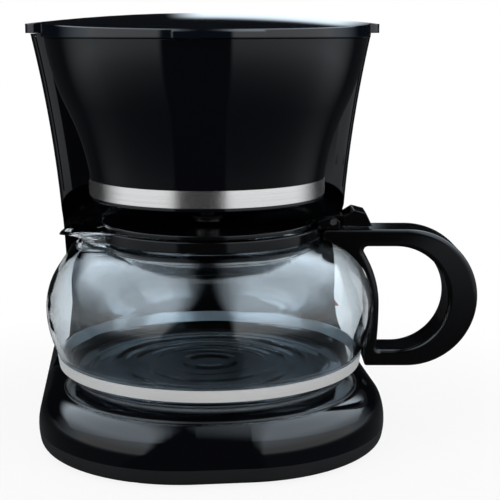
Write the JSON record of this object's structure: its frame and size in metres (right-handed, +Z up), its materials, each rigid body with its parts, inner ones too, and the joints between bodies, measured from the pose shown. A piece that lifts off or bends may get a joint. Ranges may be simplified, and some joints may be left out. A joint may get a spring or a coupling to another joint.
{
  "type": "drip coffee maker",
  "caption": "Compact drip coffee maker with an hourglass tower, funnel-shaped brew head, hinged lid, warming plate and a round glass carafe with a loop handle.",
  "frame": {"origin": "middle of the footprint on the counter, handle and lid hinge included", "axes": "+Z up, the front with the carafe faces -Y, the carafe handle is on the +X side"},
  "size_m": [0.2214, 0.2014, 0.207],
  "materials": {
    "black_gloss": "glossy moulded",
    "black_matte": "fine matt texture",
    "dark_plastic": "semi-gloss moulded",
    "rubber": "matt",
    "silicone": "translucent white",
    "steel": "plain",
    "brushed_band": "brushed along its length",
    "plate_coat": "non-stick coating",
    "heater_alloy": "drawn",
    "pale_plastic": "natural",
    "fuse_sleeve": "braided sleeve",
    "red_lens": "translucent red",
    "clear_glass": "clear"
  },
  "bodies": {
    "housing": {"base_housing": "black_gloss", "tower_housing": "black_gloss", "funnel_housing": "black_gloss", "bottom_cover": "black_matte", "filter_basket": "dark_plastic", "switch_bezel": "dark_plastic", "spray_arm": "dark_plastic", "rubber_feet": "rubber", "plate_seal": "rubber", "tank_seals": "rubber", "cord_gland": "rubber", "cold_hose": "silicone", "hot_hose": "silicone", "cover_screws": "steel", "bracket_screws": "steel", "heater_bracket": "steel", "hose_clips": "steel", "valve_spring": "steel", "lid_pins": "steel", "mesh_filter": "steel", "steel_band": "brushed_band", "warming_plate": "plate_coat", "heater_tube": "heater_alloy", "thermostat": "heater_alloy", "riser_tube": "pale_plastic", "riser_joint": "pale_plastic", "check_valve": "pale_plastic", "thermal_fuse": "fuse_sleeve"},
    "lid": {"top_lid": "black_gloss"},
    "carafe": {"carafe_glass": "clear_glass", "carafe_ring": "brushed_band", "carafe_collar": "dark_plastic", "carafe_lid_pin": "steel", "carafe_handle": "dark_plastic", "ring_screw": "steel"},
    "carafe_lid": {"carafe_lid": "dark_plastic"},
    "drip_valve": {"drip_valve": "pale_plastic"},
    "rocker": {"rocker_button": "red_lens"}
  },
  "joints": [
    {"name": "lid_hinge", "type": "hinge", "parent": "housing", "child": "lid", "pos_m": [-0.0221, 0.0973, 0.2006], "axis": [-1, 0, 0], "range_deg": [0, 95]},
    {"name": "carafe_slide", "type": "slide", "parent": "housing", "child": "carafe", "axis": [0, -1, 0], "range_m": [0, 0.22]},
    {"name": "carafe_lid_hinge", "type": "hinge", "parent": "carafe", "child": "carafe_lid", "pos_m": [0.03857, -0.02008, 0.1067], "axis": [0.1045, 0.9945, 0], "range_deg": [0, 3]},
    {"name": "drip_valve_slide", "type": "slide", "parent": "housing", "child": "drip_valve", "axis": [0, 0, 1], "range_m": [0, 0.0033], "stiffness_N_per_m": 60, "deforming": ["valve_spring"]},
    {"name": "switch_rocker", "type": "hinge", "parent": "housing", "child": "rocker", "pos_m": [0.0512, 0.0523, 0.0515], "axis": [0, 1, 0], "range_deg": [0, 18]}
  ],
  "couplings": [
    {"joint": "drip_valve_slide", "follows": "carafe_lid_hinge", "m_per_rad": 0.0622}
  ]
}
